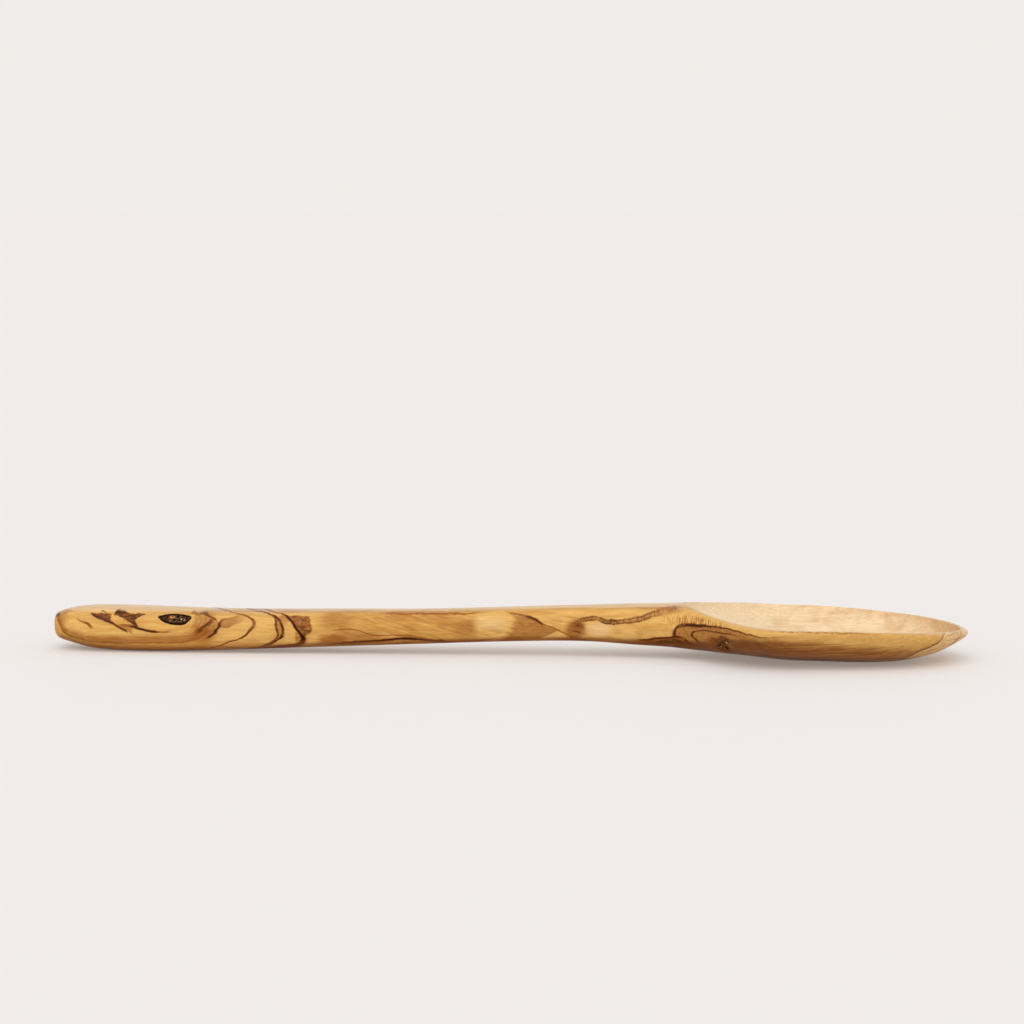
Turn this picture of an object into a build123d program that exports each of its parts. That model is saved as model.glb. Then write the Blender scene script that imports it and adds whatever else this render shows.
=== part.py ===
from build123d import *
import math
import os

# A cooking spoon carved from one blank of olive wood, lying on a table with its bowl open upwards.
# Millimetres. +X runs from the end of the handle to the tip of the bowl, +Z is up, and the origin is
# on the table under the middle of the spoon's length.

# Driving sizes of the whole spoon
spoon_length = 300.0
sanding_depth = 0.3
overrun = 5.0

# Driving sizes of the handle, with places measured from its end
end_width = 8.0
end_underside = 4.8
end_top = 11.7
grip_place = 38.0
grip_width = 20.4
grip_height = 14.0
waist_place = 165.0
waist_width = 13.8
waist_underside = 4.7
waist_top = 16.0

# Driving sizes of the neck, where the bowl starts to spread
neck_width = 20.0
neck_underside = 3.2
neck_top = 17.2

# Driving sizes of the bowl, with places measured from the neck
bowl_length = 95.0
bowl_width = 62.0
widest_place = 35.0
widest_underside = 0.4
rim_height = 13.6
rest_place = 57.0
tip_width = 3.4
tip_underside = 8.9
tip_top = 9.6

# Driving sizes of the hollow in the bowl
neck_wall = 4.5
rim_wall = 2.2
tip_wall = 2.6
hollow_depth = 10.4

# The dead knot in the near side of the handle, with its ring of bark
knot_place = 41.5
knot_rise = 11.4
knot_length = 11.2
knot_height = 4.0
knot_depth = 4.0
knot_skew = 0.4
bark_thickness = 0.45
knot_gap = 0.1

# The pin knots under the near side of the neck
pin_diameter = 1.0
pin_depth = 2.5
pin_gap = 0.05

# Fullness of a corner in a cross-section or an outline: 0 is a straight chamfer, 1 a square corner
round_share = 0.5523
handle_top_share = 0.80
handle_belly_share = 0.72
rim_top_share = 0.92
bowl_belly_share = 0.56
hollow_neck_share = 0.38
hollow_tip_share = 0.55
knot_share = 0.60

# Height of the widest line of a cross-section, from its underside to its top
handle_widest_share = 0.52
bowl_widest_share = 0.92

# Where the bowl stands on the table, as shares of the way from its widest place to its tip
rest_width_share = 0.096
rest_top_share = 0.10

# In-between cross-sections, as shares of the way from one key section to the next:
# place, width, underside, top, and shape (widest line and fullness)
end_to_grip_shares = [
    (0.04, 0.42, 0.29, 0.33, 0.15),
    (0.12, 0.71, 0.47, 0.74, 0.35),
    (0.28, 0.92, 0.78, 1.11, 0.65),
    (0.55, 1.00, 0.99, 1.17, 0.90),
]
grip_to_waist_shares = [
    (0.21, 0.27, 0.19, -0.23, 0.25),
    (0.43, 0.68, 0.43, -0.03, 0.50),
    (0.69, 0.94, 0.71, 0.23, 0.75),
]
waist_to_neck_shares = [
    (0.38, 0.16, 0.07, 0.42, 0.30),
    (0.70, 0.48, 0.60, 0.81, 0.70),
]
neck_to_widest_shares = [
    (0.13, 0.12, 0.15, 0.00, 0.15),
    (0.26, 0.30, 0.27, 0.13, 0.40),
    (0.40, 0.56, 0.38, 0.38, 0.65),
    (0.58, 0.82, 0.53, 0.69, 0.90),
    (0.77, 0.96, 0.72, 0.89, 1.00),
]
widest_to_rest_shares = [
    (0.50, 0.33, 0.60, 0.25, 0.00),
]
rest_to_tip_shares = [
    (0.24, 0.07, 0.01, 0.15, 0.00),
    (0.45, 0.15, 0.08, 0.31, 0.00),
    (0.61, 0.24, 0.22, 0.44, 0.00),
    (0.75, 0.37, 0.40, 0.57, 0.02),
    (0.85, 0.53, 0.60, 0.67, 0.05),
    (0.93, 0.72, 0.77, 0.78, 0.15),
    (0.98, 0.88, 0.91, 0.89, 0.50),
]

# The hollow is a stack of outlines that shrink as a quarter circle does, down to its flat floor
hollow_layers = 6
hollow_last_angle = 84
hollow_neck_ramp = 2

# Places of the pin knots: along the bowl and up its rim height
pin_place_shares = [(0.180, 0.58), (0.160, 0.46), (0.182, 0.41)]

end_x = -spoon_length / 2
tip_x = spoon_length / 2
neck_x = tip_x - bowl_length
grip_x = end_x + grip_place
waist_x = end_x + waist_place
widest_x = neck_x + widest_place
rest_x = neck_x + rest_place


def mix(first, last, share):
    """A value on the way from first to last."""
    return first + (last - first) * share


def between(first, last, rows):
    """Sections on the way from one key section to the next."""
    sections = []
    for place, width, underside, top, shape in rows:
        ways = (place, width, underside, top, shape, shape, shape)
        sections.append([mix(a, b, way) for a, b, way in zip(first, last, ways)])
    return sections


def rounded_corner(start, end, corner, fullness):
    """A curve that leaves start and reaches end in line with the corner."""
    return Bezier(start, mix(start, corner, fullness), mix(end, corner, fullness), end)


def cross_section(place, width, underside, top, widest_share, top_share, belly_share):
    """A closed cross-section of the spoon, across its length."""
    half = width / 2
    widest = mix(underside, top, widest_share)
    near = Vector(place, -half, widest)
    far = Vector(place, half, widest)
    crown = Vector(place, 0, top)
    keel = Vector(place, 0, underside)
    return Wire([
        rounded_corner(near, crown, Vector(place, -half, top), top_share),
        rounded_corner(crown, far, Vector(place, half, top), top_share),
        rounded_corner(far, keel, Vector(place, half, underside), belly_share),
        rounded_corner(keel, near, Vector(place, -half, underside), belly_share),
    ])


def make_blank():
    """The outer form of the spoon, sanded flat where it stands on the table."""
    handle_shape = (handle_widest_share, handle_top_share, handle_belly_share)
    round_shape = (handle_widest_share, round_share, round_share)
    bowl_shape = (bowl_widest_share, rim_top_share, bowl_belly_share)
    end = (end_x, end_width, end_underside, end_top, *round_shape)
    grip = (grip_x, grip_width, -sanding_depth, grip_height, *handle_shape)
    waist = (waist_x, waist_width, waist_underside, waist_top, *handle_shape)
    neck = (neck_x, neck_width, neck_underside, neck_top, *handle_shape)
    widest = (widest_x, bowl_width, widest_underside, rim_height, *bowl_shape)
    rest_width = mix(bowl_width, tip_width, rest_width_share)
    rest_top = mix(rim_height, tip_top, rest_top_share)
    rest = (rest_x, rest_width, -sanding_depth, rest_top, *bowl_shape)
    tip = (tip_x, tip_width, tip_underside, tip_top, *round_shape)
    rows = [end, *between(end, grip, end_to_grip_shares)]
    rows += [grip, *between(grip, waist, grip_to_waist_shares)]
    rows += [waist, *between(waist, neck, waist_to_neck_shares)]
    rows += [neck, *between(neck, widest, neck_to_widest_shares)]
    rows += [widest, *between(widest, rest, widest_to_rest_shares)]
    rows += [rest, *between(rest, tip, rest_to_tip_shares), tip]
    blank = Solid.make_loft([cross_section(*row) for row in rows])
    table = Pos(0, 0, -overrun) * Box(spoon_length + overrun, bowl_width + overrun, 2 * overrun)
    return blank - table


def hollow_outline(length, widest, half_width, depth, size):
    """A closed egg, shrunk towards the deepest place of the hollow, and faster at its neck end."""
    half = half_width * size
    start = widest - widest * size ** hollow_neck_ramp
    finish = widest + (length - widest) * size
    neck_end = Vector(start, 0, -depth)
    tip_end = Vector(finish, 0, -depth)
    far = Vector(widest, half, -depth)
    near = Vector(widest, -half, -depth)
    return Wire([
        rounded_corner(neck_end, far, Vector(start, half, -depth), hollow_neck_share),
        rounded_corner(far, tip_end, Vector(finish, half, -depth), hollow_tip_share),
        rounded_corner(tip_end, near, Vector(finish, -half, -depth), hollow_tip_share),
        rounded_corner(near, neck_end, Vector(start, -half, -depth), hollow_neck_share),
    ])


def carve_hollow(blank):
    """The blank with the hollow of its bowl carved out along the sloping rim."""
    start = Vector(neck_x + neck_wall, 0, neck_top)
    along = Vector(tip_x - tip_wall, 0, tip_top) - start
    rim = Plane(origin=start, x_dir=along, z_dir=along.cross(Vector(0, 1, 0)))
    widest = widest_place - neck_wall
    half_width = bowl_width / 2 - rim_wall
    last = math.radians(hollow_last_angle)
    outlines = []
    for layer in range(hollow_layers + 1):
        angle = last * layer / hollow_layers
        depth = hollow_depth * math.sin(angle) / math.sin(last)
        outlines.append(hollow_outline(along.length, widest, half_width, depth, math.cos(angle)))
    below_rim = Solid.make_loft(outlines)
    above_rim = extrude(Face(outlines[0]), neck_top, dir=(0, 0, 1))
    return blank - rim * below_rim - rim * above_rim


def near_surface(blank, place, height):
    """Where a line straight at the near side meets the blank, as a plane that faces outwards."""
    sight = Axis((place, -bowl_width, height), (0, 1, 0))
    point, normal = blank.find_intersection_points(sight)[0]
    return Plane(origin=point, x_dir=(1, 0, 0), z_dir=normal)


def knot_prism(surface, growth):
    """A straight plug with the outline of the knot, grown or shrunk all round."""
    half_length = knot_length / 2 + growth
    half_height = knot_height / 2 + growth
    handle_end = Vector(-half_length, 0, 0)
    bowl_end = Vector(half_length, 0, 0)
    upper = Vector(knot_skew, half_height, 0)
    lower = Vector(knot_skew, -half_height, 0)
    outline = Wire([
        rounded_corner(handle_end, upper, Vector(-half_length, half_height, 0), knot_share),
        rounded_corner(upper, bowl_end, Vector(half_length, half_height, 0), knot_share),
        rounded_corner(bowl_end, lower, Vector(half_length, -half_height, 0), knot_share),
        rounded_corner(lower, handle_end, Vector(-half_length, -half_height, 0), knot_share),
    ])
    prism = extrude(Face(outline), knot_depth + overrun, dir=(0, 0, 1))
    return surface * Pos(0, 0, -knot_depth) * prism


def pin_prism(surface, radius):
    """A straight plug for one pin knot."""
    return surface * Pos(0, 0, -pin_depth) * extrude(Circle(radius), pin_depth + overrun)


def main():
    os.makedirs("parts", exist_ok=True)
    blank = make_blank()
    spoon = carve_hollow(blank)

    knot_surface = near_surface(blank, end_x + knot_place, knot_rise)
    spoon -= knot_prism(knot_surface, knot_gap)
    core = knot_prism(knot_surface, -bark_thickness)
    export_step(core & blank, "parts/handle_knot.step")
    export_step((knot_prism(knot_surface, 0) - core) & blank, "parts/handle_knot_bark.step")

    pins = []
    for along_share, up_share in pin_place_shares:
        surface = near_surface(blank, neck_x + along_share * bowl_length, up_share * rim_height)
        spoon -= pin_prism(surface, pin_diameter / 2 + pin_gap)
        pins.append(pin_prism(surface, pin_diameter / 2) & blank)
    export_step(Compound(children=pins), "parts/neck_pin_knots.step")
    export_step(spoon, "parts/carved_spoon.step")


if __name__ == "__main__":
    main()
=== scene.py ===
import math

import bpy
from bpy.props import FloatProperty, FloatVectorProperty, IntProperty, PointerProperty
from mathutils import Matrix, Vector


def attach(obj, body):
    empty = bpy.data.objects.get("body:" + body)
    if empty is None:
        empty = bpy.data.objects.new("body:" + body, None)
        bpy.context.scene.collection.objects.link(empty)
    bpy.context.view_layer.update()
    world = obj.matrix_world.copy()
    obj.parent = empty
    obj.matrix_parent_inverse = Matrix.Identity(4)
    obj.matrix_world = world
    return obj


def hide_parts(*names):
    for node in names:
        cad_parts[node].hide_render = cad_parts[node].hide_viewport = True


bl_info = {
    "name": "Olive Wood Spoon",
    "version": (1, 0, 0),
    "blender": (4, 5, 0),
    "location": "View3D > Sidebar > Spoon",
    "description": "Models a carved olive wood cooking spoon with its knots, and a plain stage for it",
    "category": "Add Mesh",
}

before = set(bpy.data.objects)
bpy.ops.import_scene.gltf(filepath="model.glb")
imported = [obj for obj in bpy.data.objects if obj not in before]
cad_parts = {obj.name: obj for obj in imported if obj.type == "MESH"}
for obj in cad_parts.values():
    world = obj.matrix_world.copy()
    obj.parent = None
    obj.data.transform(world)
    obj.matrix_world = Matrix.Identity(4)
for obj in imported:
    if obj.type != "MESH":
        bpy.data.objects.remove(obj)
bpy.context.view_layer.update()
MM = 0.001

# Edges that turn more than this stay sharp.
WOOD_CREASE = math.radians(50)
KNOT_CREASE = math.radians(60)
PIN_CREASE = math.radians(40)

# Corners round the rim and the knot, spans of the grids that close them, and corners round a pin.
OUTLINE_CORNERS = 48
BOWL_GRID = 12
KNOT_GRID = 16
PIN_CORNERS = 24

# The rim's flat top: how far it steps aside before it draws in, and how much smaller it ends.
RIM_STEP = 1.6 * MM
RIM_DRAW_IN = 0.91

# Rings of the bowl, from its rim down: how far each lies below the last, in millimetres, and how
# much smaller it is.
BELLY_RINGS = ((3.0, 0.97), (3.8, 0.90), (3.2, 0.79), (2.4, 0.58))
HOLLOW_RINGS = ((2.4, 0.98), (2.7, 0.92), (2.4, 0.83), (1.7, 0.70))

# The CAD form's hollow, in millimetres: where it starts, its middle, and the line of the rim, as
# the neck's place and top and the rim's fall per millimetre. Faces that look up belong to it only
# where they are this margin below the rim.
HOLLOW_START = 57
HOLLOW_MIDDLE = 95
NECK_PLACE, NECK_TOP, RIM_FALL = 55, 17.2, 0.08
RIM_MARGIN = 3.5

# The hollow as seen from above, for its colour: the widest place, how far it reaches to the neck
# and to the tip, and half its width, in millimetres.
EGG_PLACE, EGG_TO_NECK, EGG_TO_TIP, EGG_HALF_WIDTH = 90.0, -30.5, 57.4, 28.8

# Sections of the handle, from the neck to its end: the place, half the width, the underside and
# the top of each, in millimetres.
HANDLE_SECTIONS = (
    (53, 9.6, 3.0, 17.2),
    (43, 8.4, 3.6, 17.1),
    (30, 7.4, 4.6, 16.6),
    (15, 6.9, 4.7, 16.0),
    (-5, 7.0, 4.1, 15.2),
    (-30, 7.2, 3.0, 14.4),
    (-57, 8.0, 1.8, 14.0),
    (-85, 9.3, 0.6, 13.6),
    (-112, 10.2, -0.2, 14.0),
    (-129, 10.3, -0.2, 14.4),
    (-140, 9.8, 0.8, 14.3),
    (-146, 8.5, 2.2, 13.5),
    (-149, 6.6, 3.4, 12.4),
    (-150.2, 3.4, 5.4, 11.0),
)

# Towards the handle's end, the knot's outline tapers beyond each of these shares of its half
# length, by the share beside it. Then its lowest point is pulled towards the bowl and its two ends
# are pulled up, and what lies within reach follows.
KNOT_TAPERS = ((0.40, 0.92), (0.70, 0.86), (0.86, 0.80))
BELLY_PULL, BELLY_PULL_REACH = 1.3 * MM, 4.2 * MM
ENDS_PULL, ENDS_PULL_REACH = 0.40 * MM, 2.4 * MM

# Painted highlights and pits in the knot, and the middles of the pin knots: along and up, in millimetres.
KNOT_HIGHLIGHTS = ((-107.7, 12.85), (-106.5, 12.9), (-105.8, 11.3), (-109.4, 12.1))
KNOT_PITS = ((-107.4, 12.1), (-107.0, 11.1), (-105.5, 12.4), (-108.6, 11.2), (-104.6, 11.6))
PIN_PLACES = ((72.1, 7.9), (70.2, 6.3), (72.3, 5.6))

# Play of the knot's core in its bark, then of a pin knot in its pocket, all round and below, and
# how deep a pin knot is sunk.
CORE_PLAY = 0.02 * MM
PIN_PLAY = 0.04 * MM
PIN_DEPTH_PLAY = 0.2 * MM
PIN_SINK = 0.12 * MM

# Sockets of a colour mix: its share, the colour below, the colour above and its result.
MIX_SHARE, MIX_UNDER, MIX_OVER, MIX_RESULT = 0, 6, 7, 2

# The floor's size in metres, how wide the lamp looks, and the width of the lens's picture in mm.
FLOOR_SIZE = 60
LAMP_SPREAD = math.radians(60)
SENSOR_WIDTH = 36


class SpoonSizes(bpy.types.PropertyGroup):
    """Sizes of the carved spoon's modelling cage."""

    widest_place: FloatProperty(
        name="Widest place", description="Where the bowl is widest, along the spoon",
        default=90 * MM, unit="LENGTH")
    rim_height: FloatProperty(
        name="Rim height", description="Height of the rim where the bowl is widest",
        default=13.9 * MM, unit="LENGTH")
    half_width: FloatProperty(
        name="Half width", description="Half the width of the bowl over its rim",
        default=31 * MM, unit="LENGTH")
    neck_reach: FloatProperty(
        name="Neck reach", description="From the widest place back to the neck",
        default=35 * MM, unit="LENGTH")
    tip_reach: FloatProperty(
        name="Tip reach", description="From the widest place to the tip",
        default=60 * MM, unit="LENGTH")
    rim_slope: FloatProperty(
        name="Rim slope", description="How far the rim falls towards the tip",
        default=math.radians(4.6), subtype="ANGLE")
    smoothing: IntProperty(
        name="Rubbing down", description="How often the finished form is rubbed smooth",
        default=3, min=0)


class KnotSizes(bpy.types.PropertyGroup):
    """Sizes of the dead knots in the handle and the neck."""

    place: FloatProperty(
        name="Place", description="Where the handle's knot is, along the spoon",
        default=-108.5 * MM, unit="LENGTH")
    rise: FloatProperty(
        name="Rise", description="Height of the handle's knot over the table",
        default=11.65 * MM, unit="LENGTH")
    half_length: FloatProperty(
        name="Half length", description="Half the length of the knot over its bark",
        default=5.55 * MM, unit="LENGTH")
    half_height: FloatProperty(
        name="Half height", description="Half the height of the knot over its bark",
        default=2.08 * MM, unit="LENGTH")
    depth: FloatProperty(
        name="Depth", description="How deep the knot goes into the handle",
        default=3.9 * MM, unit="LENGTH")
    bark: FloatProperty(
        name="Bark", description="Thickness of the ring of bark",
        default=0.40 * MM, unit="LENGTH")
    gap: FloatProperty(
        name="Gap", description="Play between the bark and the wood",
        default=0.06 * MM, unit="LENGTH")
    pin_radius: FloatProperty(
        name="Pin radius", description="Radius of a pin knot in the neck",
        default=0.50 * MM, unit="LENGTH")
    pin_depth: FloatProperty(
        name="Pin depth", description="How deep a pin knot goes into the neck",
        default=2.3 * MM, unit="LENGTH")


class WoodTones(bpy.types.PropertyGroup):
    """Colours of the oiled olive wood."""

    light: FloatVectorProperty(
        name="Light wood", description="The palest wood of the handle",
        default=(0.76, 0.435, 0.125), subtype="COLOR", min=0, max=1)
    gold: FloatVectorProperty(
        name="Gold wood", description="The streaks between pale and brown",
        default=(0.57, 0.262, 0.055), subtype="COLOR", min=0, max=1)
    brown: FloatVectorProperty(
        name="Brown wood", description="The swirls and patches",
        default=(0.30, 0.084, 0.011), subtype="COLOR", min=0, max=1)
    dark: FloatVectorProperty(
        name="Dark lines", description="The near-black growth lines",
        default=(0.028, 0.007, 0.002), subtype="COLOR", min=0, max=1)
    pale: FloatVectorProperty(
        name="Pale wood", description="The wood inside the bowl",
        default=(0.90, 0.70, 0.45), subtype="COLOR", min=0, max=1)


class StageSettings(bpy.types.PropertyGroup):
    """The floor, the lamps and the camera."""

    floor_colour: FloatVectorProperty(
        name="Floor colour", description="Colour of the plain floor",
        default=(0.881, 0.884, 0.893), subtype="COLOR", min=0, max=1)
    glow_colour: FloatVectorProperty(
        name="Glow colour", description="Colour of the floor's own glow, which warms the shadow",
        default=(0.86, 0.73, 0.64), subtype="COLOR", min=0, max=1)
    backdrop_colour: FloatVectorProperty(
        name="Backdrop colour", description="Colour of the wall far behind",
        default=(0.88, 0.85, 0.825), subtype="COLOR", min=0, max=1)
    soft_light: FloatProperty(
        name="Soft light", description="Strength of the even light all round",
        default=0.65, min=0)
    floor_glow: FloatProperty(
        name="Floor glow", description="Share of the glow in the floor that the camera sees",
        default=0.30, min=0, max=1)
    sun_strength: FloatProperty(
        name="Lamp strength", description="Strength of the broad lamp overhead",
        default=1.45, min=0)
    sun_direction: FloatVectorProperty(
        name="Lamp direction", description="Which way the broad lamp shines",
        default=(0.10, 0.85, -1.0), subtype="XYZ")
    camera_place: FloatVectorProperty(
        name="Camera place", description="Where the photograph was taken from",
        default=(80.15 * MM, -905.5 * MM, 149.1 * MM), subtype="TRANSLATION")
    camera_turn: FloatProperty(
        name="Camera turn", description="How far the camera looks towards the handle's end",
        default=math.radians(4.94), subtype="ANGLE")
    camera_fall: FloatProperty(
        name="Camera fall", description="How far the camera looks down",
        default=math.radians(6.419), subtype="ANGLE")
    lens: FloatProperty(
        name="Lens", description="Focal length over a 36 mm sensor",
        default=98.44)


def drop_selection(piece):
    """Selects no vertex, edge or face, and leaves edit mode."""
    bpy.ops.object.mode_set(mode="OBJECT")
    for elements in (piece.data.vertices, piece.data.edges, piece.data.polygons):
        for element in elements:
            element.select = False


def pick_faces(piece, wanted):
    """Selects just the faces whose middle and normal pass the test."""
    drop_selection(piece)
    for face in piece.data.polygons:
        face.select = wanted(face.center, face.normal)
    bpy.ops.object.mode_set(mode="EDIT")
    bpy.ops.mesh.select_mode(type="FACE")


def pick_corners(piece, wanted):
    """Selects just the vertices whose place passes the test."""
    drop_selection(piece)
    for vertex in piece.data.vertices:
        vertex.select = wanted(vertex.co)
    bpy.ops.object.mode_set(mode="EDIT")
    bpy.ops.mesh.select_mode(type="VERT")


def picked_box(piece):
    """The box round the selected vertices: its lowest corner, its highest corner and its middle."""
    bpy.ops.object.mode_set(mode="OBJECT")
    points = [vertex.co.copy() for vertex in piece.data.vertices if vertex.select]
    bpy.ops.object.mode_set(mode="EDIT")
    low = Vector([min(point[axis] for point in points) for axis in range(3)])
    high = Vector([max(point[axis] for point in points) for axis in range(3)])
    return low, high, (low + high) / 2


def add_modifier(piece, kind, **values):
    """Adds a modifier with these values and applies it."""
    modifier = piece.modifiers.new(kind.title(), kind)
    for name, value in values.items():
        setattr(modifier, name, value)
    bpy.ops.object.modifier_apply(modifier=modifier.name)


def select_pieces(pieces):
    """Selects just these pieces, with the first as the active one."""
    bpy.ops.object.select_all(action="DESELECT")
    for piece in pieces:
        piece.select_set(True)
    bpy.context.view_layer.objects.active = pieces[0]


def use_group(piece, name):
    """Makes a vertex group the one that is edited."""
    piece.vertex_groups.active_index = piece.vertex_groups[name].index


def merged_copy(name, nodes):
    """One merged mesh of some CAD nodes, to fit a new piece to."""
    copies = []
    for node in nodes:
        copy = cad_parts[node].copy()
        copy.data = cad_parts[node].data.copy()
        bpy.context.scene.collection.objects.link(copy)
        copies.append(copy)
    select_pieces(copies)
    bpy.ops.object.join()
    joined = bpy.context.view_layer.objects.active
    joined.name = name
    joined.parent = None
    bpy.ops.object.mode_set(mode="EDIT")
    bpy.ops.mesh.select_all(action="SELECT")
    bpy.ops.mesh.remove_doubles(threshold=0.002 * MM)
    bpy.ops.object.mode_set(mode="OBJECT")
    joined.select_set(False)
    return joined


def resize_picked(size, centre):
    """Resizes the selection about a point."""
    bpy.ops.transform.resize(value=size, center_override=centre)


def extrude(offset):
    """Extrudes the selection by this much."""
    bpy.ops.mesh.extrude_region_move(TRANSFORM_OT_translate={"value": offset})


def turn_outwards():
    """Turns all normals of the edited piece outwards, and leaves edit mode."""
    bpy.ops.mesh.select_all(action="SELECT")
    bpy.ops.mesh.normals_make_consistent(inside=False)
    bpy.ops.object.mode_set(mode="OBJECT")


def shape_belly(piece, sizes):
    """From an egg-shaped ring, the belly of the bowl."""
    centre = (sizes.widest_place, 0, sizes.rim_height)
    tip_stretch = sizes.tip_reach / sizes.half_width
    neck_stretch = sizes.neck_reach / sizes.half_width
    pick_corners(piece, lambda co: co.x > sizes.widest_place + 0.1 * MM)
    resize_picked((tip_stretch, 1, tip_stretch), centre)
    pick_corners(piece, lambda co: co.x < sizes.widest_place - 0.1 * MM)
    resize_picked((neck_stretch, 1, neck_stretch), centre)
    pick_corners(piece, lambda co: co.x < sizes.widest_place - sizes.neck_reach / 2)
    resize_picked((1, 0.86, 1), centre)

    # The belly goes down from the rim in rings that draw in, and closes with a grid.
    bpy.ops.mesh.select_all(action="SELECT")
    piece.vertex_groups.new(name="rim")
    bpy.ops.object.vertex_group_assign()
    for fall, draw_in in BELLY_RINGS:
        extrude((0, 0, -fall * MM))
        resize_picked((draw_in, draw_in, 0.9), centre)
        bpy.ops.object.vertex_group_remove_from()
    bpy.ops.mesh.fill_grid(span=BOWL_GRID)
    bpy.ops.object.vertex_group_remove_from()


def shape_hollow(piece, sizes):
    """From the rim, its narrow top and then the hollow, which is also a vertex group."""
    centre = (sizes.widest_place, 0, sizes.rim_height)
    bpy.ops.mesh.select_all(action="DESELECT")
    bpy.ops.mesh.select_mode(type="EDGE")
    bpy.ops.mesh.select_non_manifold(extend=False)
    extrude((RIM_STEP, 0, 0))
    resize_picked((RIM_DRAW_IN, RIM_DRAW_IN, 1), centre)
    piece.vertex_groups.new(name="hollow")
    for fall, draw_in in HOLLOW_RINGS:
        extrude((0, 0, -fall * MM))
        resize_picked((draw_in, draw_in, 1), centre)
        use_group(piece, "rim")
        bpy.ops.object.vertex_group_remove_from()
        use_group(piece, "hollow")
        bpy.ops.object.vertex_group_assign()
    bpy.ops.mesh.fill_grid(span=BOWL_GRID)
    bpy.ops.object.vertex_group_assign()


def draw_out_handle(piece, sizes):
    """The neck side of the bowl's wall, drawn out section by section into the handle."""
    neck_end = sizes.widest_place - sizes.neck_reach + 12 * MM
    pick_faces(piece, lambda co, normal: co.x < neck_end and abs(co.y) < 9 * MM and normal.x < -0.2)
    for index, (place, half_width, underside, top) in enumerate(HANDLE_SECTIONS):
        extrude((0, 0, 0))
        bpy.ops.object.vertex_group_remove_from()
        low, high, middle = picked_box(piece)
        # The first section is flattened, since it starts from a curved part of the wall.
        squeeze = 0 if index == 0 else 1
        width = 2 * half_width * MM / (high.y - low.y)
        height = (top - underside) * MM / (high.z - low.z)
        resize_picked((squeeze, width, height), middle)
        target = Vector((place * MM, 0, (top + underside) / 2 * MM))
        bpy.ops.transform.translate(value=target - middle)


def in_hollow(co, normal):
    """Whether a face of the CAD form lies in the hollow, under the top of the rim."""
    if co.x < HOLLOW_START * MM:
        return False
    rim = (NECK_TOP - RIM_FALL * (co.x / MM - NECK_PLACE)) * MM
    inwards = Vector((HOLLOW_MIDDLE * MM - co.x, -co.y, 0)).normalized().dot(normal)
    return inwards > 0.35 or (normal.z > 0.3 and co.z < rim - RIM_MARGIN * MM)


def fit_to(piece, outside, hollow, rounds):
    """Draws the cage onto the CAD form, finer each time, and rubs it down between."""
    for rubs in rounds:
        add_modifier(piece, "SUBSURF", levels=1, render_levels=1)
        use_group(piece, "rim")
        bpy.ops.object.vertex_group_clean(group_select_mode="ACTIVE", limit=0.9)
        use_group(piece, "hollow")
        bpy.ops.object.vertex_group_levels(group_select_mode="ACTIVE", gain=10)
        add_modifier(piece, "DISPLACE", strength=0.9 * MM, mid_level=0, vertex_group="rim")
        add_modifier(
            piece, "SHRINKWRAP", target=outside, wrap_method="NEAREST_SURFACEPOINT",
            vertex_group="hollow", invert_vertex_group=True)
        add_modifier(
            piece, "SHRINKWRAP", target=hollow, wrap_method="NEAREST_SURFACEPOINT",
            vertex_group="hollow")
        add_modifier(
            piece, "SMOOTH", factor=0.5, iterations=rubs,
            vertex_group="rim", invert_vertex_group=True)
    add_modifier(piece, "SMOOTH", factor=0.5, iterations=16, vertex_group="hollow")
    add_modifier(piece, "SMOOTH", factor=0.5, iterations=2)


def split_off(piece, wanted):
    """Makes the wanted faces of a mesh a piece of their own."""
    select_pieces([piece])
    pick_faces(piece, wanted)
    bpy.ops.mesh.separate(type="SELECTED")
    bpy.ops.object.mode_set(mode="OBJECT")
    return [part for part in bpy.context.selected_objects if part != piece][0]


class SPOON_OT_carved_spoon(bpy.types.Operator):
    """Model the handle, neck and bowl as one carved piece"""

    bl_idname = "spoon.carved_spoon"
    bl_label = "Carve the spoon"

    def execute(self, context):
        sizes = context.scene.spoon_sizes
        outside = merged_copy("outside_form", sorted(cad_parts))
        hollow = split_off(outside, in_hollow)
        bpy.ops.object.select_all(action="DESELECT")
        bpy.ops.mesh.primitive_circle_add(
            vertices=OUTLINE_CORNERS, radius=sizes.half_width, fill_type="NOTHING",
            location=(sizes.widest_place, 0, sizes.rim_height), rotation=(0, sizes.rim_slope, 0))
        piece = context.active_object
        piece.name = "spoon"
        bpy.ops.object.transform_apply(location=True, rotation=True, scale=True)
        bpy.ops.object.mode_set(mode="EDIT")
        shape_belly(piece, sizes)
        draw_out_handle(piece, sizes)
        shape_hollow(piece, sizes)
        turn_outwards()
        fit_to(piece, outside, hollow, (2, 2, sizes.smoothing))
        for form in (outside, hollow):
            bpy.data.objects.remove(form)
        bpy.ops.object.shade_smooth_by_angle(angle=WOOD_CREASE)
        piece.data.materials.append(olive_wood(context.scene.spoon_tones))
        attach(piece, "root")
        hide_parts("carved_spoon")
        return {"FINISHED"}


def near_frame(spoon, along, height):
    """The place on the near side straight behind a point, with its outward direction as Z."""
    start, sight = Vector((along, -100 * MM, height)), Vector((0, 1, 0))
    struck, point, normal = spoon.ray_cast(start, sight)[:3]
    if not struck:
        raise RuntimeError("No wood behind this place")
    along_wood = (Vector((1, 0, 0)) - normal * normal.x).normalized()
    upwards = normal.cross(along_wood)
    turn = Matrix((along_wood, upwards, normal)).transposed()
    return Matrix.Translation(point) @ turn.to_4x4()


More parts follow.
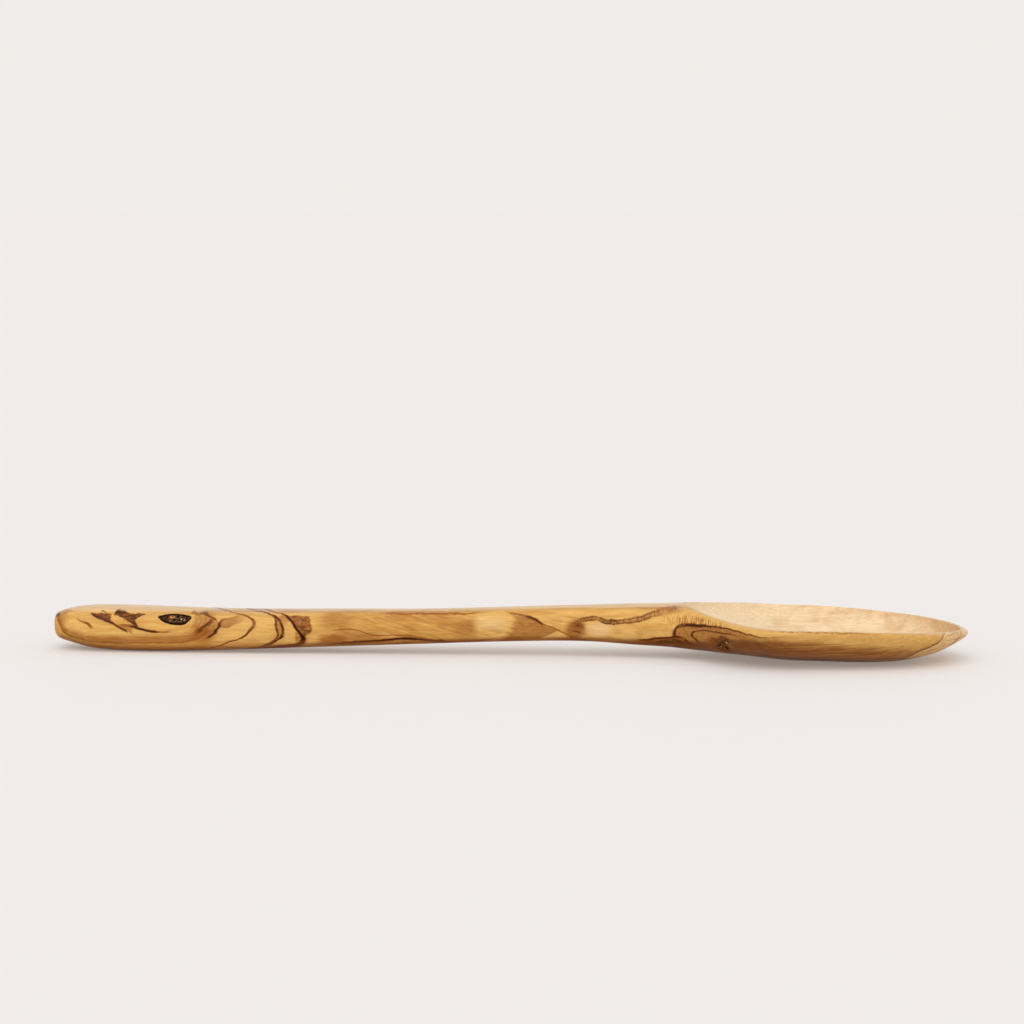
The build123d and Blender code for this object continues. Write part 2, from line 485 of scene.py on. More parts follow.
def knot_outline(name, sizes, growth):
    """The flat outline of the knot, pointed at its ends and fuller under its middle."""
    bpy.ops.object.select_all(action="DESELECT")
    bpy.ops.mesh.primitive_circle_add(
        vertices=OUTLINE_CORNERS, radius=sizes.half_length, fill_type="NOTHING")
    outline = bpy.context.active_object
    outline.name = name
    bpy.ops.object.mode_set(mode="EDIT")
    flatness = sizes.half_height / sizes.half_length
    resize_picked((1, flatness, 1), (0, 0, 0))
    for reach, squeeze in KNOT_TAPERS:
        pick_corners(outline, lambda co: co.x < -reach * sizes.half_length)
        resize_picked((1, squeeze, 1), (0, 0, 0))
    pick_corners(outline, lambda co: co.y < -0.99 * sizes.half_height)
    bpy.ops.transform.translate(
        value=(BELLY_PULL, 0, 0), use_proportional_edit=True, proportional_size=BELLY_PULL_REACH)
    pick_corners(outline, lambda co: abs(co.x) > 0.99 * sizes.half_length)
    bpy.ops.transform.translate(
        value=(0, ENDS_PULL, 0), use_proportional_edit=True, proportional_size=ENDS_PULL_REACH)
    bpy.ops.mesh.select_all(action="SELECT")
    across = 1 + growth / sizes.half_length
    upwards = 1 + growth / sizes.half_height
    resize_picked((across, upwards, 1), (0, 0, 0))
    return outline


def lay_on(piece, spoon, frame_matrix):
    """Puts a flat piece at its place and lays it on the spoon's surface."""
    bpy.ops.object.mode_set(mode="OBJECT")
    piece.matrix_world = frame_matrix
    bpy.ops.object.transform_apply(location=True, rotation=True, scale=True)
    add_modifier(piece, "SHRINKWRAP", target=spoon, wrap_method="NEAREST_SURFACEPOINT")
    piece.vertex_groups.new(name="face")
    bpy.ops.object.mode_set(mode="EDIT")
    bpy.ops.mesh.select_all(action="SELECT")
    bpy.ops.object.vertex_group_assign()


def sink(piece, frame_matrix, depth):
    """Takes the selected faces straight into the wood, as the back of a closed piece."""
    extrude(-depth * (frame_matrix.to_3x3() @ Vector((0, 0, 1))))
    bpy.ops.object.vertex_group_remove_from()
    turn_outwards()


def roughen(piece, kind, grain, strength):
    """Rough relief over the face of a knot."""
    relief = bpy.data.textures.new(piece.name + "_relief", kind)
    relief.noise_scale = grain
    add_modifier(
        piece, "DISPLACE", texture=relief, texture_coords="LOCAL", mid_level=0,
        strength=-strength, vertex_group="face")


class SPOON_OT_handle_knot(bpy.types.Operator):
    """Model the cracked core of the dead knot in the handle"""

    bl_idname = "spoon.handle_knot"
    bl_label = "Handle knot"

    def execute(self, context):
        sizes = context.scene.spoon_knots
        spoon = bpy.data.objects["spoon"]
        place = near_frame(spoon, sizes.place, sizes.rise)
        piece = knot_outline("knot_core", sizes, -sizes.bark - CORE_PLAY)
        bpy.ops.mesh.fill_grid(span=KNOT_GRID)
        bpy.ops.mesh.subdivide(number_cuts=3)
        lay_on(piece, spoon, place)
        sink(piece, place, sizes.depth)
        roughen(piece, "VORONOI", 1.3 * MM, 0.30 * MM)
        roughen(piece, "CLOUDS", 0.5 * MM, 0.16 * MM)
        bpy.ops.object.shade_smooth_by_angle(angle=KNOT_CREASE)
        piece.data.materials.append(knot_wood(context.scene.spoon_tones, sizes))
        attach(piece, "root")
        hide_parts("handle_knot")
        return {"FINISHED"}


class SPOON_OT_knot_bark(bpy.types.Operator):
    """Model the ring of old bark round the handle's knot"""

    bl_idname = "spoon.knot_bark"
    bl_label = "Knot bark"

    def execute(self, context):
        sizes = context.scene.spoon_knots
        spoon = bpy.data.objects["spoon"]
        place = near_frame(spoon, sizes.place, sizes.rise)
        piece = knot_outline("knot_ring", sizes, 0)
        inwards = (1 - sizes.bark / sizes.half_length, 1 - sizes.bark / sizes.half_height, 1)
        extrude((0, 0, 0))
        resize_picked(inwards, (0, 0, 0))
        bpy.ops.mesh.select_all(action="SELECT")
        bpy.ops.mesh.subdivide(number_cuts=2)
        lay_on(piece, spoon, place)
        sink(piece, place, sizes.depth)
        roughen(piece, "CLOUDS", 0.7 * MM, 0.28 * MM)
        bpy.ops.object.shade_smooth_by_angle(angle=KNOT_CREASE)
        piece.data.materials.append(dead_wood("knot_bark", context.scene.spoon_tones, 0.25))
        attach(piece, "root")
        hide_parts("handle_knot_bark")
        return {"FINISHED"}


class SPOON_OT_pin_knots(bpy.types.Operator):
    """Model the three pin knots under the neck"""

    bl_idname = "spoon.pin_knots"
    bl_label = "Pin knots"

    def execute(self, context):
        sizes = context.scene.spoon_knots
        spoon = bpy.data.objects["spoon"]
        bpy.ops.object.select_all(action="DESELECT")
        bpy.ops.mesh.primitive_cylinder_add(
            vertices=PIN_CORNERS, radius=sizes.pin_radius, depth=sizes.pin_depth)
        piece = context.active_object
        pick_faces(piece, lambda co, normal: normal.z > 0.9)
        # A raised edge round the face, then a hollow in it: how far in, and how far up.
        for inset, rise in ((0.12, 0.04), (0.18, -0.10)):
            bpy.ops.mesh.inset(thickness=inset * MM)
            bpy.ops.transform.translate(value=(0, 0, rise * MM))
        bpy.ops.object.mode_set(mode="OBJECT")
        pins = [piece]
        while len(pins) < len(PIN_PLACES):
            select_pieces([piece])
            bpy.ops.object.duplicate()
            pins.append(context.active_object)
        for pin, (along, height) in zip(pins, PIN_PLACES):
            place = near_frame(spoon, along * MM, height * MM)
            pin.matrix_world = place @ Matrix.Translation((0, 0, -sizes.pin_depth / 2 - PIN_SINK))
        select_pieces(pins)
        bpy.ops.object.transform_apply(location=True, rotation=True, scale=True)
        bpy.ops.object.join()
        piece.name = "pin_knots"
        bpy.ops.object.shade_smooth_by_angle(angle=PIN_CREASE)
        piece.data.materials.append(dead_wood("pin_knot_wood", context.scene.spoon_tones, 0.5))
        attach(piece, "root")
        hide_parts("neck_pin_knots")
        return {"FINISHED"}


class SPOON_OT_knot_pockets(bpy.types.Operator):
    """Cut the pockets that the knots sit in"""

    bl_idname = "spoon.knot_pockets"
    bl_label = "Knot pockets"

    def execute(self, context):
        sizes = context.scene.spoon_knots
        spoon = bpy.data.objects["spoon"]
        cutter = knot_outline("pocket_cutter", sizes, sizes.gap)
        bpy.ops.mesh.edge_face_add()
        above = 2 * MM
        bpy.ops.transform.translate(value=(0, 0, above))
        extrude((0, 0, -above - sizes.depth - sizes.gap))
        turn_outwards()
        cutter.matrix_world = near_frame(spoon, sizes.place, sizes.rise)
        cutters = [cutter]
        for along, height in PIN_PLACES:
            bpy.ops.mesh.primitive_cylinder_add(
                vertices=PIN_CORNERS, radius=sizes.pin_radius + PIN_PLAY,
                depth=2 * sizes.pin_depth + 2 * PIN_DEPTH_PLAY)
            cutters.append(context.active_object)
            cutters[-1].matrix_world = near_frame(spoon, along * MM, height * MM)
        select_pieces(cutters)
        bpy.ops.object.transform_apply(location=True, rotation=True, scale=True)
        bpy.ops.object.join()
        select_pieces([spoon])
        add_modifier(spoon, "BOOLEAN", operation="DIFFERENCE", object=cutter, solver="EXACT")
        bpy.data.objects.remove(cutter)
        bpy.ops.object.shade_smooth_by_angle(angle=WOOD_CREASE)
        return {"FINISHED"}


def knot_wood(tones, sizes):
    """The knot's core: brown, cracked and pitted, darker towards its bark, with painted highlights."""
    desk = WoodDesk("knot_wood")
    places = desk.split(desk.place)
    along, up = places["X"], places["Z"]
    reach = desk.span(along, up, (sizes.place / MM + 0.6, sizes.rise / MM), (5.2, 1.7))
    mottle = desk.noise(desk.place, (1.3, 1.3, 0.8), detail=4, roughness=0.7, distortion=1.0)
    shrunk = desk.stretch(desk.place, (0.75, 0.75, 1.2))
    cells = desk.nodes.new("ShaderNodeTexVoronoi")
    cells.feature = "DISTANCE_TO_EDGE"
    desk.feed(cells.inputs["Vector"], shrunk)
    cells.inputs["Scale"].default_value = 1.0
    rings = desk.math("PINGPONG", desk.math("ADD", desk.times(reach, 3.2), mottle), 0.5)
    colour = desk.blend(desk.fade(mottle, 0.35, 0.65), (0.060, 0.022, 0.009), (0.34, 0.14, 0.045))
    colour = desk.blend(desk.times(desk.fade(rings, 0.25, 0.05), 0.6), colour, (0.07, 0.024, 0.008))
    colour = desk.blend(desk.fade(cells.outputs["Distance"], 0.10, 0.02), colour, tuple(tones.dark))
    colour = desk.blend(desk.fade(reach, 0.62, 1.00), colour, (0.030, 0.009, 0.003))
    specks = desk.noise(desk.place, (0.9, 0.9, 0.7), detail=1)
    colour = desk.blend(desk.fade(specks, 0.54, 0.62), colour, (0.010, 0.004, 0.002))
    # Painted highlights: small orange spots where the knot's core catches the light.
    for highlight_place in KNOT_HIGHLIGHTS:
        highlight = desk.times(desk.patch(along, up, highlight_place, (0.75, 0.40)), desk.fade(specks, 0.62, 0.50))
        colour = desk.blend(highlight, colour, (0.62, 0.30, 0.10))
    for pit in KNOT_PITS:
        colour = desk.blend(desk.patch(along, up, pit, (0.50, 0.38), 0.4), colour, (0.004, 0.002, 0.001))
    desk.feed(desk.shader.inputs["Base Color"], colour)
    desk.feed(desk.shader.inputs["Roughness"], desk.fade(mottle, 0.3, 0.7, 0.50, 0.72))
    desk.shader.inputs["Specular IOR Level"].default_value = 0.08
    return desk.material


def dead_wood(name, tones, lightness):
    """Near-black dead wood or bark, with some brown in it."""
    desk = WoodDesk(name)
    mottle = desk.noise(desk.place, (0.9, 0.9, 0.6), detail=4, roughness=0.7)
    brown = tuple(lightness * each for each in tones.brown)
    colour = desk.blend(desk.fade(mottle, 0.40, 0.70), (0.012, 0.005, 0.003), brown)
    desk.feed(desk.shader.inputs["Base Color"], colour)
    desk.feed(desk.shader.inputs["Roughness"], desk.fade(mottle, 0.3, 0.7, 0.55, 0.80))
    desk.shader.inputs["Specular IOR Level"].default_value = 0.08
    return desk.material


def plain_material(name, colour, roughness):
    """A starting material."""
    material = bpy.data.materials.new(name)
    material.use_nodes = True
    shader = material.node_tree.nodes["Principled BSDF"]
    shader.inputs["Base Color"].default_value = (*colour, 1)
    shader.inputs["Roughness"].default_value = roughness
    return material


class WoodDesk:
    """Lays out the nodes of a wood material. Places are in millimetres.

    Each node is made after the nodes that feed it, and none clamps its result: the renderer then
    works them out in this order, and few values have to wait for their turn.
    """

    def __init__(self, name):
        self.material = bpy.data.materials.new(name)
        self.material.use_nodes = True
        self.nodes = self.material.node_tree.nodes
        self.links = self.material.node_tree.links
        self.shader = self.nodes["Principled BSDF"]
        self.place = self.nodes.new("ShaderNodeTexCoord").outputs["Object"]
        self.place = self.stretch(self.place, (1000, 1000, 1000))

    def feed(self, socket, value):
        """Links a socket, or sets it to a plain value."""
        if isinstance(value, bpy.types.NodeSocket):
            self.links.new(value, socket)
        elif value is not None and socket.default_value != value:
            socket.default_value = value

    def math(self, operation, first, second=None):
        node = self.nodes.new("ShaderNodeMath")
        node.operation = operation
        for socket, value in zip(node.inputs, (first, second)):
            self.feed(socket, value)
        return node.outputs[0]

    def vector(self, operation, first, second):
        node = self.nodes.new("ShaderNodeVectorMath")
        node.operation = operation
        self.feed(node.inputs[0], first)
        self.feed(node.inputs[1], second)
        return node.outputs[0]

    def stretch(self, place, size):
        return self.vector("MULTIPLY", place, size)

    def scaled(self, colour, share):
        node = self.nodes.new("ShaderNodeVectorMath")
        node.operation = "SCALE"
        self.feed(node.inputs[0], colour)
        self.feed(node.inputs["Scale"], share)
        return node.outputs[0]

    def joined(self, along, across, up):
        node = self.nodes.new("ShaderNodeCombineXYZ")
        for socket, value in zip(node.inputs, (along, across, up)):
            self.feed(socket, value)
        return node.outputs[0]

    def split(self, place):
        node = self.nodes.new("ShaderNodeSeparateXYZ")
        self.feed(node.inputs[0], place)
        return node.outputs

    def fade(self, value, start, end, low=0.0, high=1.0, kind="SMOOTHSTEP"):
        """A soft step from low at start to high at end, which stays within the two."""
        node = self.nodes.new("ShaderNodeMapRange")
        node.interpolation_type = kind
        node.clamp = False
        for socket, each in zip(node.inputs, (value, start, end, low, high)):
            self.feed(socket, each)
        return node.outputs[0]

    def ramp(self, value, start, end, low=0.0, high=1.0):
        """A straight line from low at start to high at end, and on beyond both."""
        return self.fade(value, start, end, low, high, "LINEAR")

    def noise(self, place, size, detail=2.0, roughness=0.5, distortion=0.0, result="Fac"):
        """Noise whose grains are about this many millimetres, along each axis."""
        grains = self.stretch(place, tuple(1 / each for each in size))
        node = self.nodes.new("ShaderNodeTexNoise")
        self.feed(node.inputs["Vector"], grains)
        self.feed(node.inputs["Scale"], 1.0)
        self.feed(node.inputs["Detail"], detail)
        self.feed(node.inputs["Roughness"], roughness)
        self.feed(node.inputs["Distortion"], distortion)
        return node.outputs[result]

    def colour_noise(self, place, size):
        """A vector of three noises, each from -0.5 to 0.5."""
        return self.vector("SUBTRACT", self.noise(place, size, result="Color"), (0.5, 0.5, 0.5))

    def curve(self, value, points):
        """A curve drawn through these points."""
        starts = [point[0] for point in points]
        heights = [point[1] for point in points]
        low, high = min(heights) - 1, max(heights) + 1
        way = self.ramp(value, starts[0], starts[-1])
        node = self.nodes.new("ShaderNodeFloatCurve")
        node.mapping.extend = "HORIZONTAL"
        drawn = node.mapping.curves[0].points
        for index, (start, height) in enumerate(points):
            share = (start - starts[0]) / (starts[-1] - starts[0])
            place = (share, (height - low) / (high - low))
            if index in (0, 1):
                drawn[index].location = place
            else:
                drawn.new(*place)
        node.mapping.update()
        self.feed(node.inputs["Value"], way)
        return self.ramp(node.outputs[0], 0.0, 1.0, low, high)

    def blend(self, share, under, over):
        node = self.nodes.new("ShaderNodeMix")
        node.data_type = "RGBA"
        for index, value in ((MIX_SHARE, share), (MIX_UNDER, under), (MIX_OVER, over)):
            if isinstance(value, tuple):
                value = (*value, 1.0)
            self.feed(node.inputs[index], value)
        return node.outputs[MIX_RESULT]

    def times(self, *values):
        result = values[0]
        for value in values[1:]:
            result = self.math("MULTIPLY", result, value)
        return result

    def stretch_of(self, value, start, end, soft):
        """1 between start and end, with soft ends."""
        inside = self.fade(value, start - soft, start + soft)
        return self.times(inside, self.fade(value, end + soft, end - soft))

    def stroke(self, distance, width):
        """1 on a line, down to 0 at its edges."""
        return self.fade(self.math("ABSOLUTE", distance), width, self.times(width, 0.48))

    def patch(self, along, height, middle, size, soft=0.5):
        """A soft oval patch."""
        return self.fade(self.span(along, height, middle, size), 1 + soft, 1 - soft)

    def span(self, along, height, middle, size):
        """Distance from a middle, in shares of the size each way."""
        across = self.math("DIVIDE", self.math("SUBTRACT", along, middle[0]), size[0])
        up = self.math("DIVIDE", self.math("SUBTRACT", height, middle[1]), size[1])
        squares = self.math("ADD", self.math("POWER", across, 2.0), self.math("POWER", up, 2.0))
        return self.math("SQRT", squares)


class OliveWood(WoodDesk):
    """Oiled olive wood, painted in layers over its palest tone."""

    def __init__(self, tones):
        super().__init__("olive_wood")
        self.tones = tones
        self.colour = tuple(tones.light)

        # The hollow is what faces up within the bowl's inner rim, an egg seen from above.
        self.facing = self.split(self.nodes.new("ShaderNodeNewGeometry").outputs["Normal"])[2]
        plain_x, plain_y, self.plain_z = self.split(self.place)
        from_widest = self.math("SUBTRACT", plain_x, EGG_PLACE)
        reach = self.fade(from_widest, -1, 1, EGG_TO_NECK, EGG_TO_TIP)
        along = self.math("DIVIDE", from_widest, reach)
        across = self.math("DIVIDE", self.math("ABSOLUTE", plain_y), EGG_HALF_WIDTH)
        fullness = self.fade(from_widest, -4, 4, 1.57, 2.0)
        egg = self.math("ADD", self.math("POWER", along, fullness), self.math("POWER", across, fullness))
        self.inside = self.times(self.fade(egg, 1.05, 0.99), self.fade(self.facing, -0.08, 0.08))
        self.outside = self.math("SUBTRACT", 1.0, self.inside)
        # Where the wood faces down, for the painted shade under it.
        self.below = self.fade(self.facing, -0.40, -0.85)
        self.round = self.fade(self.facing, -0.97, -0.82)

        # Streaks that run along the spoon, all through the wood, and its finer grain.
        bends = self.colour_noise(self.place, (22, 8, 8))
        bent = self.vector("ADD", self.place, self.stretch(bends, (0, 3.5, 3.5)))
        self.streaks = self.noise(bent, (42, 1.9, 1.9), detail=3, roughness=0.55)
        self.thin_streaks = self.noise(bent, (26, 0.8, 0.8), detail=3, roughness=0.6)
        self.broad = self.noise(bent, (46, 8, 8), detail=2, roughness=0.5, distortion=0.6)
        self.fibres = self.noise(self.place, (6, 0.40, 0.40), detail=3, roughness=0.65)
        leaning = self.vector("ADD", self.place, self.joined(0.0, 0.0, self.times(plain_x, 0.27)))
        self.hatch = self.noise(leaning, (9, 5, 0.8), detail=3, roughness=0.6)
        self.mottle = self.noise(self.place, (1.5, 1.5, 0.8), detail=3, roughness=0.7)
        self.cloud = self.noise(self.place, (7, 4, 3), detail=2, roughness=0.5)

        # The painted lines wander a little, as the fibres do. This wander starts from the bent
        # place, so that the renderer has all the noises ready before the first layer.
        wander = self.colour_noise(bent, (2.6, 2.6, 2.6))
        place = self.vector("ADD", self.place, self.stretch(wander, (1.3, 0.9, 1.0)))
        self.x, self.y, self.z = self.split(place)
        self.slant = self.math("ADD", self.x, self.times(self.math("ADD", self.y, 8.0), 0.8))
        self.near = self.fade(self.y, -0.5, -4.5)

    def paint(self, tone, share, *masks):
        """One more layer of this tone where all the masks are.

        A mask is a socket, or the name of a field with the values that it fades between.
        """
        masks = [self.fade(getattr(self, each[0]), *each[1:]) if isinstance(each, tuple) else each
                 for each in masks]
        self.colour = self.blend(self.times(*masks, share), self.colour, tuple(getattr(self.tones, tone)))

    def dab(self, tone, share, middle, size, soft=0.5, *masks):
        """A layer on a soft oval on the near side."""
        self.paint(tone, share, self.spot(middle, size, soft), *masks)

    def trace(self, tone, share, distance, width, *masks):
        """A layer along a line."""
        self.paint(tone, share, self.stroke(distance, width), *masks)

    def line(self, share, distance, width, *masks):
        """A dark line with soft brown edges."""
        self.trace("brown", 0.9 * share, distance, self.times(width, 1.7), *masks)
        self.trace("dark", share, distance, width, *masks)

    def spot(self, middle, size, soft=0.5):
        """A soft oval on the near side."""
        return self.times(self.patch(self.x, self.z, middle, size, soft), self.near)

    def above(self, *points):
        """Height over a line drawn along the spoon."""
        return self.math("SUBTRACT", self.z, self.curve(self.x, points))

    def beyond(self, *points):
        """Distance past a line that goes round the handle."""
        return self.math("SUBTRACT", self.slant, self.curve(self.z, points))

    def past(self, *points):
        """Distance past a line drawn up the near side."""
        return self.math("SUBTRACT", self.x, self.curve(self.z, points))

    def reach(self, start, end, soft=1.0):
        """The near side between two places."""
        return self.times(self.stretch_of(self.x, start, end, soft), self.near)

    def level(self, low, high, soft=0.4):
        """Between two heights."""
        return self.stretch_of(self.z, low, high, soft)

    def finish(self):
        """Sets the colour and the gloss."""
        colour = self.scaled(self.colour, self.fade(self.fibres, 0.30, 0.75, 0.86, 1.10))
        self.feed(self.shader.inputs["Base Color"], colour)
        self.feed(self.shader.inputs["Roughness"], self.fade(self.fibres, 0.2, 0.8, 0.30, 0.40))
        self.shader.inputs["Specular IOR Level"].default_value = 0.05
        self.feed(self.shader.inputs["Coat Weight"], self.fade(self.facing, -0.45, 0.0, 0.0, 0.55))
        self.shader.inputs["Coat Roughness"].default_value = 0.18
        self.shader.inputs["Coat IOR"].default_value = 1.15
        bump = self.nodes.new("ShaderNodeBump")
        bump.inputs["Strength"].default_value = 0.10
        bump.inputs["Distance"].default_value = 0.0003
        self.feed(bump.inputs["Height"], self.fibres)
        self.feed(self.shader.inputs["Normal"], bump.outputs[0])
        return self.material


def olive_wood(tones):
    """The spoon's wood: pale gold, with brown swirls and near-black lines round its knots."""
    wood = OliveWood(tones)
    paint_growth(wood)
    paint_handle_end(wood)
    paint_feathers(wood)
    paint_swirl(wood)
    paint_cross_lines(wood)
    paint_middle(wood)
    paint_wedge(wood)
    paint_wavy_band(wood)
    paint_neck(wood)
    paint_bowl(wood)
    paint_hollow(wood)
    # Painted shade where the wood faces down, less of it towards the tip, over wood that is darker
    # underneath too.
    below = wood.times(wood.below, wood.fade(wood.x, 138, 120, 0.2, 1.0))
    wood.paint("brown", 0.7, below)
    wood.paint("dark", 0.35, below, ("thin_streaks", 0.44, 0.6))
    return wood.finish()


def paint_growth(wood):
    """Streaks all over, lines of growth in the top and far side, and a painted sheen on the handle's top.
    """
    wood.paint("gold", 0.62, ("streaks", 0.36, 0.66))
    wood.paint("brown", 0.2, ("broad", 0.5, 0.76), wood.outside)
    rings = wood.math("PINGPONG", wood.times(wood.broad, 9.0), 0.5)
    elsewhere = wood.times(wood.math("SUBTRACT", 1.0, wood.near), wood.outside)
    wood.paint("gold", 0.6, ("thin_streaks", 0.4, 0.62), elsewhere)
    wood.paint("brown", 0.5, wood.fade(rings, 0.2, 0.02), elsewhere)
    wood.paint("dark", 0.38, wood.fade(rings, 0.055, 0.01), elsewhere)

    # The top of the handle is painted paler, as a painted sheen, down to a brown line along its shoulder.
    shoulder = wood.curve(wood.x, (
        (-150, 12.5), (-140, 13.2), (-110, 13.4), (-80, 13.5), (-60, 13.7), (-18, 14.3),
        (-2, 15.0), (18, 15.7), (46, 16.5), (60, 17.0), (70, 17.4)))
    crown = wood.math("SUBTRACT", wood.plain_z, shoulder)
    handle = wood.times(wood.fade(wood.x, 62, 54), wood.outside)
    wood.paint("pale", 0.34, wood.fade(crown, -0.15, 0.2), handle)
    wood.trace("brown", 0.4, crown, 0.25, handle, ("broad", 0.4, 0.6))


def paint_handle_end(wood):
    """A brown band that sags below the knot, over a paler strip at the foot."""
    border = wood.above(
        (-150, 12.0), (-149, 10.9), (-147.2, 8.4), (-146, 6.2), (-141.8, 4.7), (-136.7, 3.7), (-130, 3.2),
        (-120, 3.3), (-111.6, 3.4), (-105, 4.0), (-101, 5.2), (-97.5, 7.0), (-94, 9.0))
    part = wood.reach(-151, -97, 1.5)
    width = wood.fade(wood.x, -147, -125, 3.2, 4.0)
    band = wood.times(
        wood.fade(border, -0.12, 0.15), wood.fade(border, width, wood.times(width, 0.2)), part)
    wood.paint("brown", 0.62, band)
    wood.paint("brown", 0.52, band, ("thin_streaks", 0.42, 0.58))
    wood.trace("brown", 0.7, border, 0.4, part)
    wood.trace("dark", 0.35, border, 0.3, part, ("broad", 0.44, 0.6))
    wood.paint("gold", 0.75, wood.fade(border, -0.1, -0.5), part)
    wood.paint("brown", 0.1, wood.fade(border, -1.5, -2.3), wood.reach(-131, -97, 6.0))
    wood.paint("brown", 0.62, ("x", -143.6, -146.8), wood.fade(border, 0.0, 0.4), wood.near)
    wood.dab("dark", 0.85, (-149.2, 11.7), (1.2, 0.75), 0.4)
    dash = wood.above((-143, 11.8), (-141, 10.9), (-138.3, 9.7), (-135.9, 8.5), (-134, 7.6))
    dash_width = wood.fade(wood.x, -141, -136.8, 0.3, 0.8)
    wood.trace("brown", 0.85, dash, dash_width, wood.reach(-141.0, -135.8, 0.5))
    wood.trace("dark", 0.4, dash, 0.45, wood.reach(-138.6, -136.0, 0.6))


def paint_feathers(wood):
    """Dark feathers between the handle's end and its knot, with a thin line under them."""
    vane = wood.above(
        (-138, 13.1), (-136.6, 12.6), (-133.4, 11.4), (-131, 10.6), (-128.9, 9.8), (-126.2, 8.2),
        (-123.8, 7.0), (-122.5, 6.2))
    blob = wood.times(
        wood.fade(vane, -0.15, 0.15), wood.fade(wood.z, 13.1, 12.7), wood.reach(-136.6, -129.6, 0.5))
    wood.paint("brown", 0.94, blob)
    wood.paint("dark", 0.8, blob, wood.fade(vane, 1.2, 0.3))
    wood.paint("dark", 0.6, blob, ("mottle", 0.43, 0.56))
    wood.line(0.88, vane, 0.38, wood.reach(-136.6, -124.2, 0.8))
    hook = wood.above((-134, 13.6), (-132.6, 13.5), (-131.8, 13.1), (-131, 12.4))
    wood.trace("dark", 0.6, hook, 0.3, wood.reach(-133.2, -131.3, 0.3))
    for points in (
            ((-129.5, 12.6), (-127.8, 12.8), (-126, 12.2), (-124, 11.1), (-122.2, 10.1), (-121, 9.3)),
            ((-126, 13.2), (-124.4, 12.7), (-123, 11.7), (-121.9, 10.6), (-120.8, 9.2))):
        barb = wood.above(*points)
        wood.line(0.88, barb, 0.5, wood.reach(-128.6, -120.9, 0.4))
    between = wood.times(wood.spot((-123.4, 11.6), (2.2, 1.0), 0.4), wood.fade(wood.mottle, 0.35, 0.6))
    wood.paint("brown", 0.8, between)
    wing_edge = wood.above(
        (-127.4, 12.5), (-124.8, 11.9), (-122.9, 11.0), (-121.7, 10.9), (-120.9, 11.7), (-119.6, 12.2),
        (-118.2, 12.8))
    wing = wood.times(
        wood.fade(wing_edge, -0.12, 0.12), wood.fade(wood.z, 13.05, 12.75),
        wood.reach(-127.0, -118.6, 0.4))
    wood.paint("brown", 0.95, wing)
    wood.paint("dark", 0.72, wing, ("mottle", 0.34, 0.52))
    thread = wood.above(
        (-128, 9.3), (-126.5, 9.3), (-122.2, 9.0), (-120, 8.4), (-118.1, 7.8), (-116.2, 7.4),
        (-113.5, 7.25), (-110, 7.4))
    under = wood.times(
        wood.fade(thread, 0.1, -0.2), wood.fade(vane, 0.1, 0.5), wood.reach(-128, -122.4, 0.6))
    wood.paint("brown", 0.62, under)
    wood.trace("brown", 0.8, thread, 0.5, wood.reach(-127, -110.0, 1.5))
    wood.line(0.92, thread, 0.42, wood.reach(-122.8, -114.0, 1.2))


def paint_swirl(wood):
    """The swirl on the bowl side of the knot, and the brown patch beyond it."""
    rough = wood.math("SUBTRACT", wood.mottle, 0.5)
    wood.dab("brown", 0.66, (-98.4, 9.4), (4.1, 4.0), 0.35, ("mottle", 0.3, 0.6, 0.6, 1.0))
    wood.dab("brown", 0.45, (-98.8, 6.0), (4.6, 2.4), 0.6)
    arcs = wood.math(
        "PINGPONG", wood.times(wood.span(wood.x, wood.z, (-108.0, 11.4), (1.0, 0.75)), 0.62), 0.5)
    fan = wood.times(wood.spot((-99.4, 9.0), (4.6, 4.6), 0.4), wood.fade(arcs, 0.16, 0.0))
    wood.paint("brown", 0.55, fan)
    diagonal = wood.above(
        (-102.4, 6.6), (-101.2, 7.1), (-99.9, 7.9), (-98.3, 9.3), (-95.9, 11.1), (-94.8, 11.7))
    diagonal = wood.math("ADD", diagonal, wood.times(rough, 1.8))
    wood.trace("brown", 0.9, diagonal, 1.15, wood.reach(-101.6, -95.6, 0.8))
    wood.trace("dark", 0.62, diagonal, 0.75, wood.reach(-100.6, -96.0, 0.8))
    arch = wood.above(
        (-104, 13.0), (-103.1, 13.2), (-101.4, 12.8), (-99.1, 13.1), (-97.0, 12.3), (-95.6, 11.8),
        (-94.7, 11.1), (-94.1, 9.9), (-93.8, 9.0))
    arch = wood.math("ADD", arch, wood.times(rough, 0.8))
    wood.trace("brown", 0.75, arch, 0.5, wood.reach(-103.4, -93.9, 0.4))
    wood.trace("dark", 0.65, arch, 0.34, wood.reach(-99.8, -94.2, 0.6), ("mottle", 0.42, 0.54))
    wood.dab("light", 0.55, (-86.8, 7.4), (4.6, 2.5))
    edge = wood.past(
        (5.0, -97.8), (5.6, -97.1), (6.1, -96.6), (7.1, -95.2), (8.2, -94.7), (9.1, -93.9), (10.3, -93.5),
        (11.3, -92.4), (12.0, -90.4), (12.6, -88.4))
    edge = wood.math("ADD", edge, wood.times(rough, 0.9))
    beyond_edge = wood.times(wood.fade(edge, -0.1, 0.4), wood.fade(wood.x, -83.5, -89.5), wood.near)
    foot = wood.above((-95, 8.9), (-93.6, 9.1), (-92, 8.95), (-90, 9.2), (-87, 10.2), (-84.5, 12.0))
    wood.paint("brown", 0.62, beyond_edge, wood.fade(foot, -0.2, 0.4), ("z", 13.0, 12.4))
    wood.trace("dark", 0.55, foot, 0.3, wood.reach(-94.0, -89.6, 0.8))
    wood.trace("brown", 0.9, edge, 0.95, wood.level(5.4, 11.9), wood.near)
    edge_width = wood.fade(wood.z, 11.4, 8.6, 0.34, 0.6)
    wood.trace("dark", 0.88, edge, edge_width, wood.level(5.4, 10.6, 0.6), wood.near)


